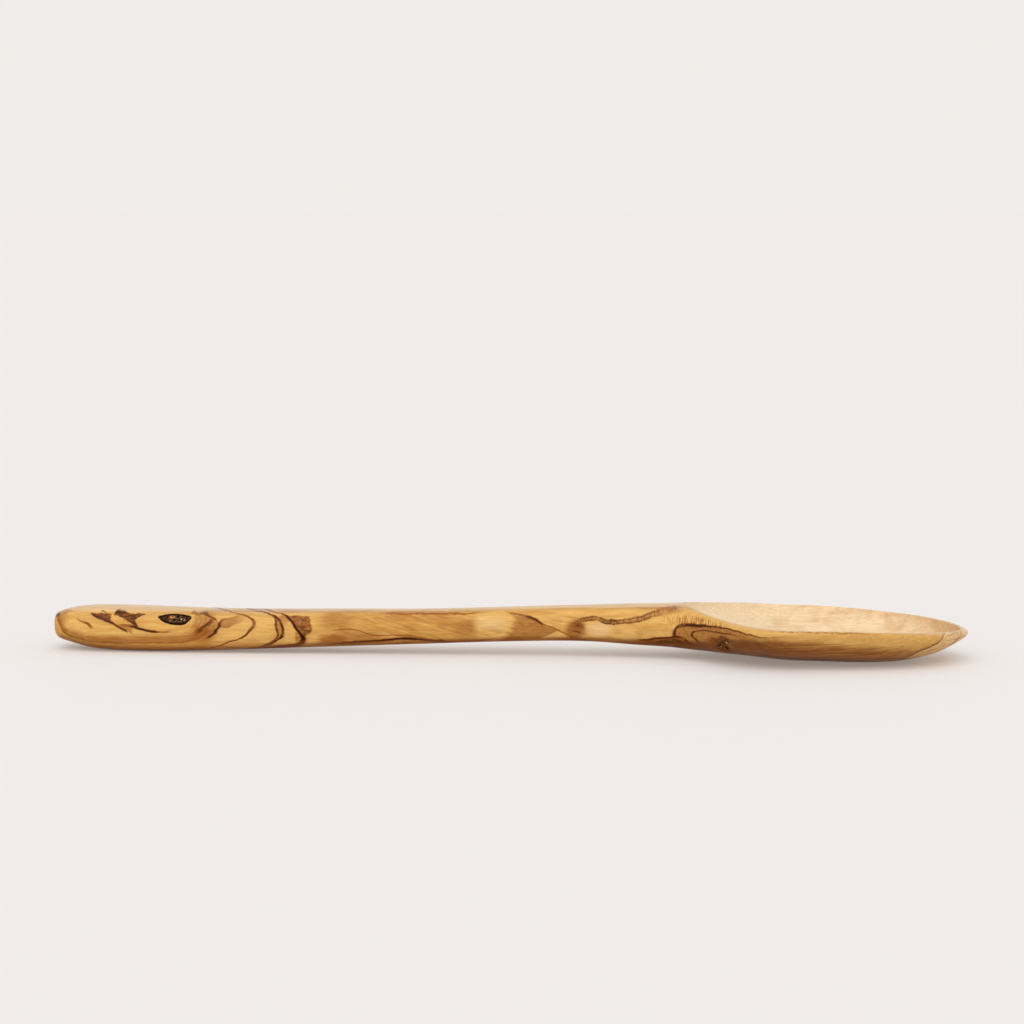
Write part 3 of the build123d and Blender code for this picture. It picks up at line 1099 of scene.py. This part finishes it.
def paint_cross_lines(wood):
    """Dark lines of growth that cross the handle and go round it."""
    loop = wood.beyond(
        (1.2, -99.0), (2.4, -94.5), (4.4, -90.4), (5.8, -86.7), (7.8, -84.4), (10.1, -82.7),
        (11.3, -82.8), (12.7, -85.0), (13.4, -88.0))
    wood.paint("brown", 0.4, wood.fade(loop, -1.5, -0.2), wood.fade(loop, 0.3, -0.1), wood.round)
    wood.trace("brown", 0.92, loop, 0.95, wood.round)
    wood.trace("dark", 0.4, loop, 0.55, ("mottle", 0.38, 0.54), wood.round)
    wood.trace("dark", 0.45, loop, 0.8, wood.level(4.6, 8.0, 0.8), wood.near)
    wood.dab("light", 0.65, (-78.9, 7.6), (2.9, 4.8))

    first = wood.beyond(
        (2.0, -79.5), (2.6, -78.0), (4.4, -75.4), (5.9, -73.6), (6.9, -73.1), (10.8, -74.0),
        (12.5, -74.6), (13.1, -76.2), (14.0, -80.0))
    twin = wood.beyond(
        (2.0, -80.0), (3.0, -78.6), (4.6, -76.4), (6.2, -74.9), (8.0, -75.2), (10.8, -75.4),
        (12.2, -75.1), (13.0, -76.0))
    web = wood.times(wood.fade(twin, -0.3, 0.1), wood.fade(first, 0.3, -0.1), wood.round)
    wood.paint("brown", 0.5, web)
    wood.paint("brown", 0.5, web, ("z", 6.4, 5.2))
    wood.paint("dark", 0.6, web, ("z", 6.6, 5.2), ("mottle", 0.44, 0.54))
    wood.trace("brown", 0.95, twin, 0.6, wood.round)
    wood.trace("dark", 0.45, twin, 0.4, ("mottle", 0.36, 0.5), wood.round)
    wood.line(0.94, first, 0.56, wood.round)

    wood.dab("light", 0.6, (-70.4, 6.0), (1.9, 3.2))
    wood.dab("brown", 0.55, (-72.3, 11.6), (1.9, 1.5), 0.4)
    second = wood.beyond(
        (1.9, -74.0), (2.6, -68.9), (3.4, -66.8), (4.9, -66.0), (6.4, -66.7), (8.9, -68.7), (11.4, -70.2),
        (12.8, -70.9), (13.3, -72.4), (14.0, -75.5))
    inner = wood.times(wood.spot((-68.0, 6.2), (0.9, 1.9)), wood.fade(wood.mottle, 0.4, 0.52))
    wood.paint("brown", 0.85, inner)
    wood.paint(
        "brown", 0.35, wood.fade(second, -2.6, -0.1), wood.fade(second, 0.2, -0.1), ("z", 5.2, 3.8))
    jagged = wood.math("ADD", wood.slant, wood.times(wood.mottle, 3.4))
    ragged_end = wood.fade(jagged, -61.2, -62.0)
    slope = wood.above((-70, 5.5), (-67, 5.9), (-65.2, 6.6), (-63.4, 7.6), (-61.5, 8.9), (-60, 10.4))
    patch = wood.times(
        wood.fade(second, -0.1, 0.3), ragged_end, wood.fade(slope, -0.15, 0.25),
        wood.fade(wood.z, 12.9, 12.4), wood.near)
    wood.paint("brown", 0.88, patch)
    wood.paint("dark", 0.6, patch, ("mottle", 0.46, 0.6))
    wood.paint("pale", 0.3, patch, ("mottle", 0.4, 0.32))
    wood.trace("dark", 0.6, slope, 0.34, wood.reach(-67.5, -63.6, 0.5))
    second_width = wood.fade(wood.z, 9.0, 5.5, 0.6, 0.95)
    wood.line(1.0, second, second_width, wood.round)
    tail = wood.above((-90, 1.0), (-84, 1.5), (-76, 2.0), (-70, 2.5), (-67, 3.5), (-65, 4.2))
    wood.line(1.0, tail, wood.fade(wood.x, -84, -70, 0.36, 0.7), wood.reach(-86, -66.4, 2.0))


def paint_middle(wood):
    """Leaning fibres, with a thin line above them and darker ones below."""
    middle = wood.reach(-60, -10, 5.0)
    wood.paint("gold", 0.55, middle)
    wood.paint("brown", 0.26, middle, ("cloud", 0.42, 0.62))
    wood.paint("light", 0.6, middle, ("hatch", 0.53, 0.68))
    wood.paint("brown", 0.32, middle, ("hatch", 0.46, 0.34))
    wood.dab("brown", 0.3, (-56.0, 10.6), (5.0, 2.4), 0.6)
    wood.dab("light", 0.5, (-62.2, 5.2), (1.7, 1.8), 0.4)
    wood.dab("brown", 0.7, (-56.6, 4.9), (4.2, 1.6))
    lens_top = wood.above((-58, 6.2), (-54, 8.2), (-50, 8.6), (-46, 7.8), (-42, 6.7), (-40, 6.2))
    lens = wood.times(wood.fade(lens_top, 0.1, -0.3), wood.reach(-57, -41), wood.fade(wood.z, 4.2, 5.4))
    wood.paint("brown", 0.35, lens)
    low = wood.above(
        (-58, 6.6), (-54, 8.4), (-50, 8.6), (-44.3, 7.1), (-41, 6.6), (-36, 6.7), (-28.4, 6.3),
        (-21.9, 5.2), (-12, 4.4))
    wood.trace("brown", 0.8, low, 0.3, wood.reach(-56, -20, 2.0))
    keel = wood.above(
        (-62, 2.6), (-55.2, 3.6), (-48, 4.3), (-43.2, 4.7), (-38.9, 5.0), (-33, 5.6), (-28.5, 5.4),
        (-22, 4.8), (-16, 4.1))
    keel_width = wood.fade(wood.x, -56, -36, 0.34, 0.46)
    wood.paint(
        "brown", 0.5, wood.fade(keel, 0.9, 0.1), wood.fade(keel, -0.4, 0.0), wood.reach(-52, -18, 3.0))
    wood.line(0.96, keel, keel_width, wood.reach(-56, -17, 3.0))
    # Painted shade along the handle's lower edge, where it faces down, over wood that is dark there too.
    shaded_lower_edge = wood.fade(wood.facing, -0.55, -0.85)
    wood.paint("dark", 0.7, wood.reach(-24, 44, 8.0), shaded_lower_edge)
    wood.paint("brown", 0.55, wood.fade(keel, -1.0, -1.5), wood.reach(-62, -20, 4.0))
    shoulder = wood.above((-60, 13.0), (-51, 13.3), (-31, 13.6), (-16.3, 13.8), (-9.8, 14.0), (-6, 14.3))
    wood.trace("brown", 0.8, shoulder, 0.3, wood.reach(-40, -8, 5.0))
    wood.dab("brown", 0.42, (-13.2, 9.2), (4.0, 2.8), 0.7)
    wood.dab("brown", 0.4, (-11.6, 9.6), (1.6, 1.8), 0.8, ("hatch", 0.45, 0.58))


def paint_wedge(wood):
    """A pale oval, then a brown wedge with a dark line over it."""
    wood.dab("light", 0.85, (-3.4, 9.8), (5.4, 5.2), 0.4)
    wood.dab("brown", 0.3, (-4.0, 8.2), (4.6, 2.6), 0.6, ("hatch", 0.46, 0.6))
    wood.dab("pale", 0.22, (-4.5, 11.0), (4.6, 2.0), 0.6)
    roof = wood.above((0, 14.3), (3.4, 13.7), (8.3, 13.0), (11.6, 11.4), (14, 10.1), (17.5, 9.1))
    foot = wood.above((-4, 3.4), (0, 3.8), (5, 4.6), (10.5, 6.0), (14.8, 7.8), (17.5, 9.0), (19, 9.8))
    back = wood.past((3.0, -2.8), (5.6, -0.8), (8.0, 1.4), (10.6, 2.9), (12.8, 3.0), (15, 2.0))
    back = wood.math("ADD", back, wood.times(wood.math("SUBTRACT", wood.hatch, 0.5), 5.0))
    wedge = wood.times(
        wood.fade(roof, 0.25, -0.35), wood.fade(foot, -0.3, 0.4), wood.fade(back, -1.2, 1.5),
        wood.reach(-3, 17.8, 0.6))
    wood.paint("brown", 0.66, wedge)
    wood.paint("brown", 0.35, wedge, ("z", 8.0, 5.0))
    wood.paint("brown", 0.35, wedge, ("mottle", 0.42, 0.62))
    wood.dab("light", 0.55, (12.0, 5.2), (5.5, 1.1))
    wood.dab("gold", 0.5, (10.0, 14.4), (6.0, 0.8))
    line = wood.above(
        (-2, 14.7), (0, 14.5), (5, 13.9), (9.3, 12.7), (12, 11.4), (18.2, 8.8), (24.6, 5.6), (27, 4.6))
    wood.trace("brown", 0.85, line, 0.42, wood.reach(1, 24, 1.5))
    wood.line(0.8, line, 0.52, wood.reach(7.0, 12.6, 1.2))
    wood.trace("brown", 0.6, foot, 0.32, wood.reach(3, 17, 1.5))
    wood.dab("light", 0.5, (21.0, 12.2), (6.0, 1.8))
    arcs = wood.fade(wood.thin_streaks, 0.44, 0.58)
    wood.dab("brown", 0.35, (21.0, 12.6), (7.0, 2.2), 0.5, arcs)


def paint_wavy_band(wood):
    """A dark blotch, and the ribbed band that waves from it to the neck."""
    wood.dab("light", 0.7, (37.0, 8.4), (10.5, 3.6))
    wood.dab("pale", 0.28, (31.0, 9.6), (3.4, 2.2), 0.7)
    wood.dab("brown", 0.28, (42.0, 7.4), (11.0, 3.0), 0.6, ("cloud", 0.44, 0.6))
    wood.dab("brown", 0.8, (22.8, 8.8), (2.9, 3.4))
    wood.dab("brown", 0.75, (24.4, 10.6), (2.0, 1.8))
    cracks = wood.times(wood.fade(wood.hatch, 0.46, 0.56), wood.fade(wood.mottle, 0.38, 0.5))
    wood.dab("dark", 0.62, (24.0, 8.8), (2.2, 3.2), 0.6, cracks)
    band = wood.above(
        (22, 10.4), (24.5, 12.0), (26.1, 12.8), (29, 13.2), (31.8, 12.5), (34.1, 12.1), (38.2, 12.3),
        (42.2, 12.9), (46.5, 14.1), (51, 15.5), (56, 16.4), (60, 16.8))
    ribs = wood.fade(wood.noise(wood.place, (0.7, 4, 4), detail=1), 0.4, 0.6, 0.6, 1.0)
    band_width = wood.fade(wood.x, 30, 46, 1.0, 1.35)
    wood.trace("brown", 0.88, band, band_width, wood.reach(23.5, 57, 2.0), ribs)
    edges = wood.stroke(wood.math("SUBTRACT", wood.math("ABSOLUTE", band), 0.6), 0.3)
    wood.paint("dark", 0.6, edges, wood.reach(23.5, 50, 3.0), ("mottle", 0.34, 0.52))
    wood.dab("dark", 0.55, (34.6, 12.1), (2.6, 0.9), 0.4, ("mottle", 0.42, 0.54))


def paint_neck(wood):
    """Dark rings round the pin knots, ray flecks over them, a dark keel below, and painted shade where
    the neck faces down.
    """
    wood.dab("light", 0.75, (66.0, 14.6), (14.0, 1.6), 0.5, wood.outside)
    rays = wood.noise(wood.place, (0.45, 3, 4), detail=2, roughness=0.6)
    wood.dab("brown", 0.72, (62.5, 13.6), (9.5, 1.5), 0.5, wood.fade(rays, 0.46, 0.58), wood.outside)
    ring_top = wood.above(
        (54.6, 8.5), (55.3, 10.0), (56.3, 11.3), (57.9, 12.0), (60.5, 12.3), (63.8, 12.5), (67, 13.0),
        (70.2, 13.2), (76.6, 12.5), (80, 11.8), (84.5, 11.2), (88, 11.4), (91.7, 12.2), (98, 12.9))
    ring_side = wood.past(
        (5.0, 57.5), (6.3, 56.4), (7.2, 55.8), (8.5, 55.4), (9.5, 55.5), (11, 56.2), (12, 57.6))
    enclosed = wood.times(
        wood.fade(ring_top, 0.2, -0.3), wood.fade(ring_side, -0.3, 0.3), wood.near, wood.outside)
    wood.paint("brown", 0.62, enclosed, ("x", 98, 78, 0.25, 1.0))
    wood.paint("brown", 0.5, enclosed, ("thin_streaks", 0.44, 0.58))
    blots = wood.fade(wood.mottle, 0.3, 0.6, 0.34, 0.75)
    blots = wood.times(blots, wood.fade(wood.x, 62, 70, 0.95, 0.38))
    wood.line(0.9, ring_top, blots, wood.reach(56.5, 88, 4.0), wood.outside)
    wood.line(0.9, ring_side, 0.56, wood.level(6.4, 11.8), wood.near)
    loop_top = wood.above(
        (60.6, 8.8), (61.4, 9.9), (62.3, 10.6), (63.8, 11.0), (66, 11.2), (68.6, 11.4), (74, 11.3),
        (80, 10.4))
    loop_side = wood.past(
        (5.6, 64.5), (6.5, 63.4), (7.6, 62.4), (8.6, 61.5), (9.5, 61.3), (10.3, 61.9), (11, 63))
    wood.line(0.7, loop_top, 0.28, wood.reach(62, 75, 3.5), wood.outside)
    wood.line(0.8, loop_side, 0.44, wood.level(6.4, 10.6), wood.near)
    under = wood.above(
        (38, 5.4), (45.2, 6.3), (49, 6.8), (53.3, 7.4), (57.3, 7.9), (61, 6.6), (68, 4.4), (76, 3.2),
        (90, 2.4))
    keel = wood.times(wood.fade(under, 0.2, -0.5), wood.reach(44, 92, 3.0), wood.outside)
    wood.paint("brown", 0.88, keel)
    wood.paint("dark", 0.72, keel, ("thin_streaks", 0.38, 0.58))
    wood.paint("dark", 0.6, keel, wood.fade(under, -1.0, -2.2))
    # Painted shade where the neck and the bowl face down.
    shaded_underside = wood.times(wood.stretch_of(wood.x, 40, 100, 10.0), wood.fade(wood.facing, -0.35, -0.75))
    wood.paint("dark", 0.85, shaded_underside)
    wood.line(0.85, under, 0.4, wood.reach(44, 58, 1.5))
    for middle, size in (((71.6, 7.9), 1.0), ((69.9, 6.2), 1.2), ((72.1, 5.7), 1.2)):
        wood.dab("dark", 0.78, middle, (size, size), 0.6)
    wood.dab("brown", 0.5, (69.4, 6.6), (3.4, 2.6), 0.6, wood.outside)
    wood.dab("dark", 0.3, (70.4, 6.4), (3.8, 2.4), 0.6, wood.outside)


def paint_bowl(wood):
    """The bowl's side: gold under the rim, browner towards the table, partly as painted shade, with a
    painted shadow where it meets the table and a line by the tip.
    """
    side = wood.times(wood.fade(wood.x, 74, 96), wood.outside)
    low = wood.math("ADD", wood.z, wood.fade(wood.x, 98, 122, -1.3, 2.6))
    # Gold and light under the rim, brown and dark towards the table: partly the wood's own colour, partly
    # painted light and shade.
    wood.paint("gold", 0.5, side, wood.fade(low, 10.0, 5.0))
    wood.paint("light", 0.62, side, wood.fade(low, 7.5, 10.5))
    wood.paint("brown", 0.72, side, wood.fade(low, 4.2, 0.6))
    wood.paint("brown", 0.62, side, ("thin_streaks", 0.46, 0.58), wood.fade(low, 9.5, 3.0))
    wood.paint("light", 0.5, side, ("thin_streaks", 0.46, 0.36), wood.fade(low, 2.0, 5.0))
    wood.paint("dark", 0.62, side, ("thin_streaks", 0.5, 0.6), wood.fade(low, 4.5, 1.5))
    wood.paint("brown", 0.3, side, ("fibres", 0.5, 0.64))
    # Painted shade along the lower edge by the neck, and a painted shadow where the bowl meets the table.
    wood.paint("dark", 0.55, ("x", 62, 74), wood.outside, wood.fade(low, 1.6, -0.4))
    wood.paint("dark", 0.6, wood.stretch_of(wood.x, 90, 126, 8.0), wood.outside, ("z", 1.3, 0.3))
    wood.paint("brown", 0.55, side, wood.spot((87.0, 8.5), (6.0, 2.6), 0.6), ("mottle", 0.4, 0.6))
    wood.dab("dark", 0.45, (91.5, 7.4), (2.4, 0.5), 0.7)
    rim_line = wood.above((80, 12.9), (92, 13.2), (104, 12.9), (120, 12.1), (132, 11.4))
    wood.trace("brown", 0.7, rim_line, 0.36, wood.reach(88, 116, 8.0), ("mottle", 0.38, 0.55))
    tip_line = wood.above(
        (126, 1.4), (129.1, 2.8), (133, 5.5), (136.7, 7.2), (139.2, 8.4), (141.3, 10.9), (142, 12.4))
    wood.paint(
        "brown", 0.35, wood.fade(tip_line, 1.6, 0.1), wood.fade(tip_line, -0.2, 0.1),
        wood.reach(128, 142))
    start = wood.fade(wood.facing, -0.9, -0.5, 112, 125)
    beyond_line = wood.times(wood.fade(tip_line, 0.1, -0.3), wood.fade(wood.x, start, 133), wood.outside)
    tip = wood.times(wood.fade(wood.x, 139, 142), wood.outside)
    wood.paint("light", 0.9, beyond_line)
    wood.paint("pale", 0.22, beyond_line)
    wood.paint("pale", 0.2, tip)
    bands = wood.math("PINGPONG", wood.times(tip_line, 0.55), 0.5)
    wood.paint("brown", 0.55, beyond_line, wood.fade(bands, 0.16, 0.0))
    wood.paint("gold", 0.3, beyond_line, ("thin_streaks", 0.46, 0.58))
    last_line = wood.past((6, 143.5), (8, 145.2), (9.4, 146.6), (11, 147.6))
    wood.trace("brown", 0.65, last_line, 0.4, wood.outside)
    wood.trace("dark", 0.8, tip_line, 0.34, wood.reach(128, 141.5))


def paint_hollow(wood):
    """The hollow of the bowl is the palest part, partly its paler wood and partly a painted sheen, with a
    faint shimmer across it.
    """
    # Pale over the hollow: its paler wood, with a painted sheen where it faces up.
    wood.paint("pale", 0.92, wood.inside)
    shimmer = wood.noise(wood.place, (5.5, 13, 9), detail=2, roughness=0.5, distortion=0.5)
    to_tip = wood.fade(wood.x, 70, 96, 0.15, 1.0)
    wood.paint("gold", 0.28, wood.inside, wood.fade(shimmer, 0.4, 0.66), to_tip)
    wood.paint("gold", 0.14, wood.inside, ("streaks", 0.46, 0.66), to_tip)
    wood.paint("brown", 0.07, wood.inside, ("thin_streaks", 0.56, 0.7))
    wood.paint("brown", 0.28, wood.inside, ("x", 134, 148))
    wood.paint("gold", 0.34, wood.inside, ("x", 118, 146))


def seen_rays(nodes, links):
    """1 for rays that show the background: seen, mirrored or through glass."""
    path = nodes.new("ShaderNodeLightPath")
    seen = path.outputs["Is Camera Ray"]
    for kind in ("Is Glossy Ray", "Is Transmission Ray"):
        either = nodes.new("ShaderNodeMath")
        either.operation = "MAXIMUM"
        links.new(seen, either.inputs[0])
        links.new(path.outputs[kind], either.inputs[1])
        seen = either.outputs[0]
    return seen


def floor_paint(stage):
    """Plain paint that keeps the object's shadow, mixed with a glow of its own for seen rays that
    lightens and warms that shadow.
    """
    material = plain_material("floor_paint", stage.floor_colour, 0.7)
    nodes, links = material.node_tree.nodes, material.node_tree.links
    glow = nodes.new("ShaderNodeEmission")
    glow.inputs["Color"].default_value = (*stage.glow_colour, 1)
    glow.inputs["Strength"].default_value = 1.0
    share = nodes.new("ShaderNodeMath")
    share.operation = "MULTIPLY"
    links.new(seen_rays(nodes, links), share.inputs[0])
    share.inputs[1].default_value = stage.floor_glow
    both = nodes.new("ShaderNodeMixShader")
    links.new(share.outputs[0], both.inputs[0])
    links.new(nodes["Principled BSDF"].outputs[0], both.inputs[1])
    links.new(glow.outputs[0], both.inputs[2])
    links.new(both.outputs[0], nodes["Material Output"].inputs["Surface"])
    return material


def light_the_world(tree, stage):
    """Even light all round, with the backdrop's colour where it is seen or mirrored."""
    nodes, links = tree.nodes, tree.links
    soft_light = nodes["Background"]
    soft_light.inputs["Color"].default_value = (1, 1, 1, 1)
    soft_light.inputs["Strength"].default_value = stage.soft_light
    backdrop = nodes.new("ShaderNodeBackground")
    backdrop.inputs["Color"].default_value = (*stage.backdrop_colour, 1)
    backdrop.inputs["Strength"].default_value = 1.0
    either = nodes.new("ShaderNodeMixShader")
    links.new(seen_rays(nodes, links), either.inputs[0])
    links.new(soft_light.outputs[0], either.inputs[1])
    links.new(backdrop.outputs[0], either.inputs[2])
    links.new(either.outputs[0], nodes["World Output"].inputs["Surface"])


class SPOON_OT_stage(bpy.types.Operator):
    """Set up the plain floor, the soft lamps and the photograph's camera"""

    bl_idname = "spoon.stage"
    bl_label = "Set the stage"

    def execute(self, context):
        stage = context.scene.spoon_stage
        bpy.ops.object.select_all(action="DESELECT")
        bpy.ops.mesh.primitive_plane_add(size=FLOOR_SIZE, location=(0, 0, 0))
        floor = context.active_object
        floor.name = "floor"
        floor.data.materials.append(floor_paint(stage))

        bpy.ops.object.light_add(type="SUN", location=(0, 0, 1))
        lamp = context.active_object
        lamp.data.angle = LAMP_SPREAD
        lamp.data.energy = stage.sun_strength
        lamp.rotation_euler = Vector(stage.sun_direction).to_track_quat("-Z", "Y").to_euler()
        world = bpy.data.worlds.new("studio")
        world.use_nodes = True
        context.scene.world = world
        light_the_world(world.node_tree, stage)

        bpy.ops.object.camera_add(location=stage.camera_place)
        camera = context.active_object
        sight = Vector((
            -math.sin(stage.camera_turn) * math.cos(stage.camera_fall),
            math.cos(stage.camera_turn) * math.cos(stage.camera_fall),
            -math.sin(stage.camera_fall),
        ))
        camera.rotation_euler = sight.to_track_quat("-Z", "Y").to_euler()
        camera.data.lens = stage.lens
        camera.data.sensor_width = SENSOR_WIDTH
        camera.data.clip_start = 0.01
        context.scene.camera = camera
        context.scene.view_settings.view_transform = "Standard"
        return {"FINISHED"}


class SPOON_PT_panel(bpy.types.Panel):
    """The spoon's pieces and its stage"""

    bl_idname = "SPOON_PT_panel"
    bl_label = "Olive wood spoon"
    bl_space_type = "VIEW_3D"
    bl_region_type = "UI"
    bl_category = "Spoon"

    def draw(self, context):
        for operator in OPERATORS:
            self.layout.operator(operator.bl_idname)


OPERATORS = (
    SPOON_OT_carved_spoon,
    SPOON_OT_handle_knot,
    SPOON_OT_knot_bark,
    SPOON_OT_pin_knots,
    SPOON_OT_knot_pockets,
    SPOON_OT_stage,
)
CLASSES = (SpoonSizes, KnotSizes, WoodTones, StageSettings, *OPERATORS, SPOON_PT_panel)


def register():
    for each in CLASSES:
        bpy.utils.register_class(each)
    bpy.types.Scene.spoon_sizes = PointerProperty(type=SpoonSizes)
    bpy.types.Scene.spoon_knots = PointerProperty(type=KnotSizes)
    bpy.types.Scene.spoon_tones = PointerProperty(type=WoodTones)
    bpy.types.Scene.spoon_stage = PointerProperty(type=StageSettings)


def unregister():
    del bpy.types.Scene.spoon_stage
    del bpy.types.Scene.spoon_tones
    del bpy.types.Scene.spoon_knots
    del bpy.types.Scene.spoon_sizes
    for each in reversed(CLASSES):
        bpy.utils.unregister_class(each)


def main():
    register()
    bpy.ops.spoon.carved_spoon()
    bpy.ops.spoon.handle_knot()
    bpy.ops.spoon.knot_bark()
    bpy.ops.spoon.pin_knots()
    bpy.ops.spoon.knot_pockets()
    bpy.ops.spoon.stage()


if __name__ == "__main__":
    main()
